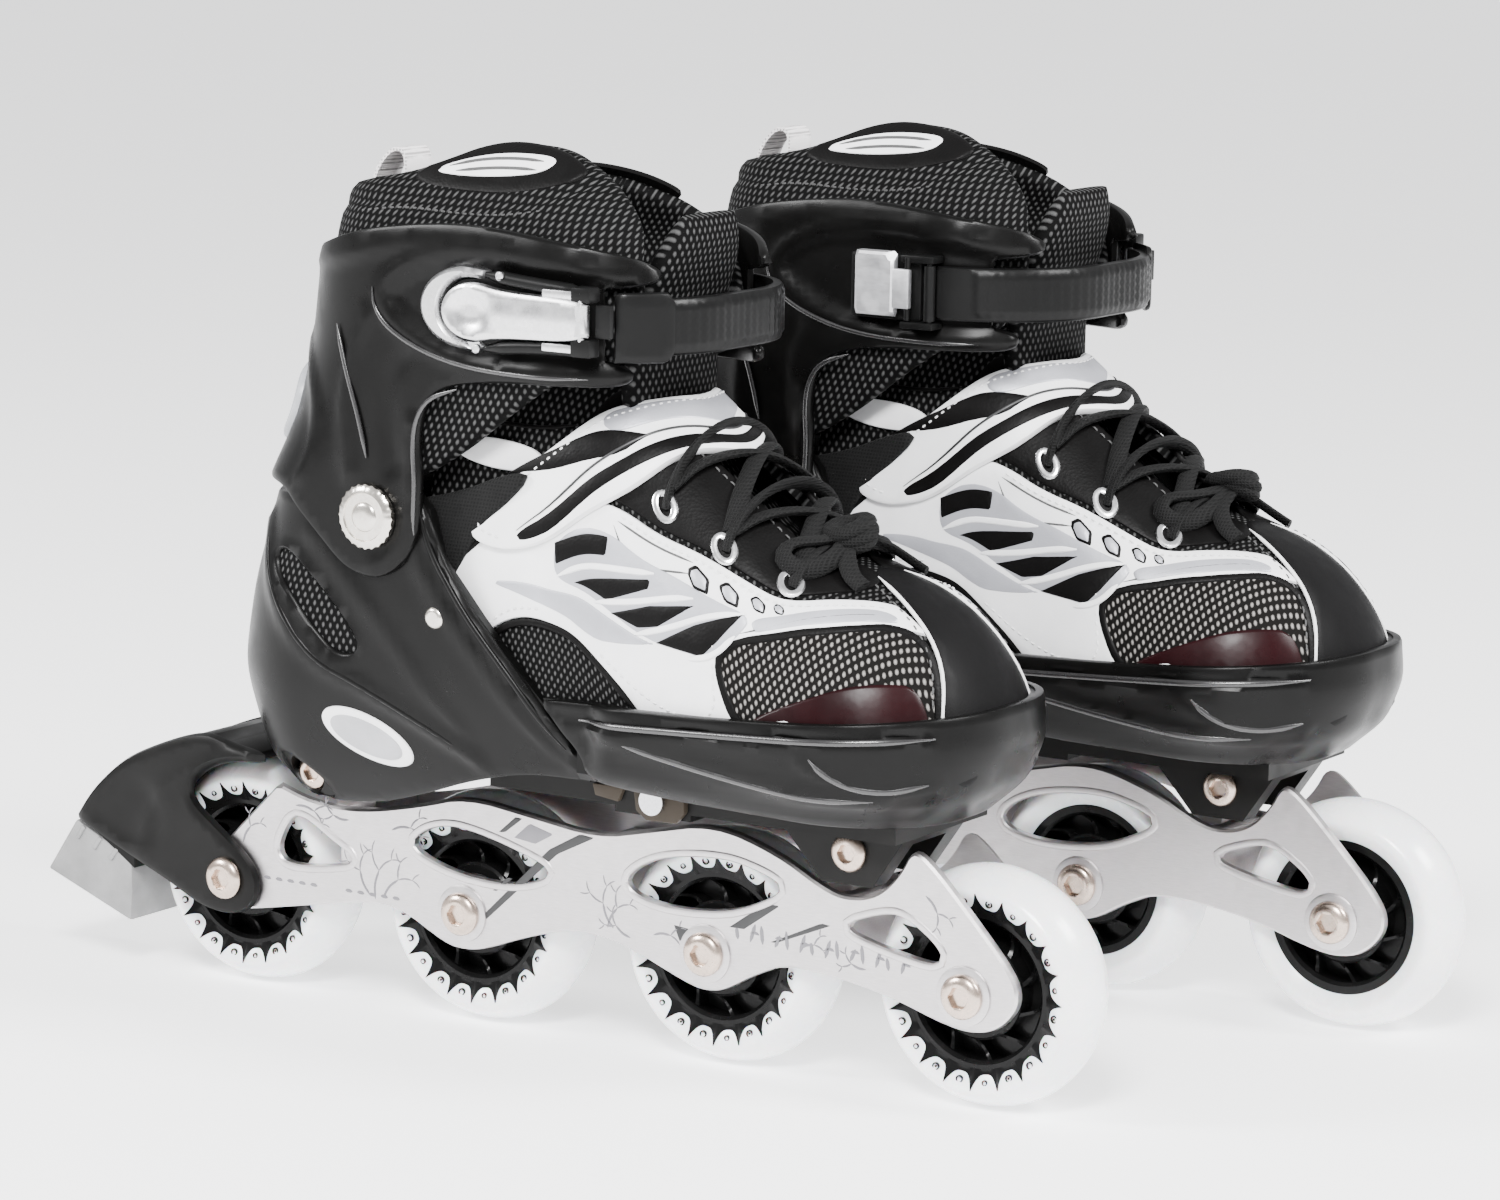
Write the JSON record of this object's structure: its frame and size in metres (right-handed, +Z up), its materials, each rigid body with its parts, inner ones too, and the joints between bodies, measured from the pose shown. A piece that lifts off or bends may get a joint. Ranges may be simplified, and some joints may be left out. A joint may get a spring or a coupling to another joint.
{
  "type": "inline skates",
  "caption": "Pair of size-adjustable inline skates with hinged cuffs, buckled ladder straps, aluminium frames, white wheels in line and a heel brake on the right skate.",
  "frame": {"origin": "on the ground, below the middle of the pair", "axes": "+X to the toes, +Z up; the right skate stands at -Y and the left skate at +Y"},
  "size_m": [0.409, 0.25, 0.268],
  "materials": {
    "frame_metal": "satin, polished edges",
    "bolt_metal": "polished",
    "bearing_steel": "polished",
    "sole_plastic": "moulded",
    "shell_plastic": "satin moulded",
    "upper_synthetic": "coated synthetic",
    "liner_fabric": "padded mesh",
    "lace": "woven",
    "strap_synthetic": "coated webbing",
    "buckle_metal": "satin plated",
    "strap_plastic": "satin moulded",
    "brake_rubber": "matt",
    "tyre": "cast urethane",
    "wheel_core": "glossy moulded"
  },
  "bodies": {
    "right_skate": {"right_frame": "frame_metal", "right_frame_bolts": "bolt_metal", "right_axles": "bolt_metal", "right_bearings": "bearing_steel", "right_base_plate": "sole_plastic", "right_heel_shell": "shell_plastic", "right_boot_rear": "liner_fabric", "right_tongue": "liner_fabric", "right_cuff_rivets": "bolt_metal", "right_brake_arm": "shell_plastic", "right_brake_pad": "brake_rubber", "right_brake_screw": "bolt_metal"},
    "right_wheel_1": {"right_wheel_1_tyre": "tyre", "right_wheel_1_hub": "wheel_core"},
    "right_wheel_2": {"right_wheel_2_tyre": "tyre", "right_wheel_2_hub": "wheel_core"},
    "right_wheel_3": {"right_wheel_3_tyre": "tyre", "right_wheel_3_hub": "wheel_core"},
    "right_wheel_4": {"right_wheel_4_tyre": "tyre", "right_wheel_4_hub": "wheel_core"},
    "right_toe": {"right_toe_shell": "shell_plastic", "right_toe_upper": "upper_synthetic", "right_laces": "lace"},
    "right_instep_strap": {"right_velcro_strap": "strap_synthetic"},
    "right_cuff": {"right_cuff": "shell_plastic", "right_collar": "liner_fabric", "right_buckle_base": "shell_plastic"},
    "right_buckle_lever": {"right_buckle_lever": "buckle_metal"},
    "right_ladder_strap": {"right_ladder_strap": "strap_plastic"},
    "right_strap_adjuster": {"right_strap_adjuster": "buckle_metal"},
    "right_size_button": {"right_size_button": "sole_plastic"},
    "left_skate": {"left_frame": "frame_metal", "left_frame_bolts": "bolt_metal", "left_axles": "bolt_metal", "left_bearings": "bearing_steel", "left_base_plate": "sole_plastic", "left_heel_shell": "shell_plastic", "left_boot_rear": "liner_fabric", "left_tongue": "liner_fabric", "left_cuff_rivets": "bolt_metal"},
    "left_wheel_1": {"left_wheel_1_tyre": "tyre", "left_wheel_1_hub": "wheel_core"},
    "left_wheel_2": {"left_wheel_2_tyre": "tyre", "left_wheel_2_hub": "wheel_core"},
    "left_wheel_3": {"left_wheel_3_tyre": "tyre", "left_wheel_3_hub": "wheel_core"},
    "left_wheel_4": {"left_wheel_4_tyre": "tyre", "left_wheel_4_hub": "wheel_core"},
    "left_toe": {"left_toe_shell": "shell_plastic", "left_toe_upper": "upper_synthetic", "left_laces": "lace"},
    "left_instep_strap": {"left_velcro_strap": "strap_synthetic"},
    "left_cuff": {"left_cuff": "shell_plastic", "left_collar": "liner_fabric", "left_buckle_base": "shell_plastic"},
    "left_buckle_lever": {"left_buckle_lever": "buckle_metal"},
    "left_ladder_strap": {"left_ladder_strap": "strap_plastic"},
    "left_strap_adjuster": {"left_strap_adjuster": "buckle_metal"},
    "left_size_button": {"left_size_button": "sole_plastic"}
  },
  "joints": [
    {"name": "right_wheel_1_spin", "type": "hinge", "parent": "right_skate", "child": "right_wheel_1", "pos_m": [-0.1325, -0.072, 0.035], "axis": [0, 1, 0], "continuous": true},
    {"name": "right_wheel_2_spin", "type": "hinge", "parent": "right_skate", "child": "right_wheel_2", "pos_m": [-0.0465, -0.072, 0.035], "axis": [0, 1, 0], "continuous": true},
    {"name": "right_wheel_3_spin", "type": "hinge", "parent": "right_skate", "child": "right_wheel_3", "pos_m": [0.0395, -0.072, 0.035], "axis": [0, 1, 0], "continuous": true},
    {"name": "right_wheel_4_spin", "type": "hinge", "parent": "right_skate", "child": "right_wheel_4", "pos_m": [0.1255, -0.072, 0.035], "axis": [0, 1, 0], "continuous": true},
    {"name": "right_size_slide", "type": "slide", "parent": "right_skate", "child": "right_toe", "axis": [1, 0, 0], "range_m": [0, 0.018]},
    {"name": "right_instep_strap_fold", "type": "hinge", "parent": "right_toe", "child": "right_instep_strap", "pos_m": [0.0275, -0.046, 0.187], "axis": [-0.3401, 0, 0.9404], "range_deg": [0, 70]},
    {"name": "right_cuff_pivot", "type": "hinge", "parent": "right_skate", "child": "right_cuff", "pos_m": [-0.0597, -0.072, 0.157], "axis": [0, 1, 0], "range_deg": [-3, 6]},
    {"name": "right_buckle_lever_hinge", "type": "hinge", "parent": "right_cuff", "child": "right_buckle_lever", "pos_m": [0.0165, -0.1225, 0.22], "axis": [0, 0, 1], "range_deg": [0, 95]},
    {"name": "right_ladder_strap_hinge", "type": "hinge", "parent": "right_cuff", "child": "right_ladder_strap", "pos_m": [0.001, -0.022, 0.2175], "axis": [0, 0, 1], "range_deg": [0, 70]},
    {"name": "right_strap_adjuster_hinge", "type": "hinge", "parent": "right_cuff", "child": "right_strap_adjuster", "pos_m": [-0.006, -0.0208, 0.2185], "axis": [0, 0, -1], "range_deg": [0, 40]},
    {"name": "right_size_button_press", "type": "slide", "parent": "right_skate", "child": "right_size_button", "axis": [0, 1, 0], "range_m": [0, 0.0025], "stiffness_N_per_m": 400},
    {"name": "left_wheel_1_spin", "type": "hinge", "parent": "left_skate", "child": "left_wheel_1", "pos_m": [-0.0885, 0.072, 0.035], "axis": [0, 1, 0], "continuous": true},
    {"name": "left_wheel_2_spin", "type": "hinge", "parent": "left_skate", "child": "left_wheel_2", "pos_m": [-0.0025, 0.072, 0.035], "axis": [0, 1, 0], "continuous": true},
    {"name": "left_wheel_3_spin", "type": "hinge", "parent": "left_skate", "child": "left_wheel_3", "pos_m": [0.0835, 0.072, 0.035], "axis": [0, 1, 0], "continuous": true},
    {"name": "left_wheel_4_spin", "type": "hinge", "parent": "left_skate", "child": "left_wheel_4", "pos_m": [0.1695, 0.072, 0.035], "axis": [0, 1, 0], "continuous": true},
    {"name": "left_size_slide", "type": "slide", "parent": "left_skate", "child": "left_toe", "axis": [1, 0, 0], "range_m": [0, 0.018]},
    {"name": "left_instep_strap_fold", "type": "hinge", "parent": "left_toe", "child": "left_instep_strap", "pos_m": [0.0715, 0.046, 0.187], "axis": [0.3401, 0, -0.9404], "range_deg": [0, 70]},
    {"name": "left_cuff_pivot", "type": "hinge", "parent": "left_skate", "child": "left_cuff", "pos_m": [-0.0157, 0.072, 0.157], "axis": [0, 1, 0], "range_deg": [-3, 6]},
    {"name": "left_buckle_lever_hinge", "type": "hinge", "parent": "left_cuff", "child": "left_buckle_lever", "pos_m": [0.0605, 0.1225, 0.22], "axis": [0, 0, -1], "range_deg": [0, 95]},
    {"name": "left_ladder_strap_hinge", "type": "hinge", "parent": "left_cuff", "child": "left_ladder_strap", "pos_m": [0.045, 0.022, 0.2175], "axis": [0, 0, -1], "range_deg": [0, 70]},
    {"name": "left_strap_adjuster_hinge", "type": "hinge", "parent": "left_cuff", "child": "left_strap_adjuster", "pos_m": [0.038, 0.0208, 0.2185], "axis": [0, 0, 1], "range_deg": [0, 40]},
    {"name": "left_size_button_press", "type": "slide", "parent": "left_skate", "child": "left_size_button", "axis": [0, -1, 0], "range_m": [0, 0.0025], "stiffness_N_per_m": 400},
    {"name": "left_skate_stride", "type": "slide", "parent": "right_skate", "child": "left_skate", "axis": [1, 0, 0], "range_m": [-0.1, 0.1]}
  ]
}
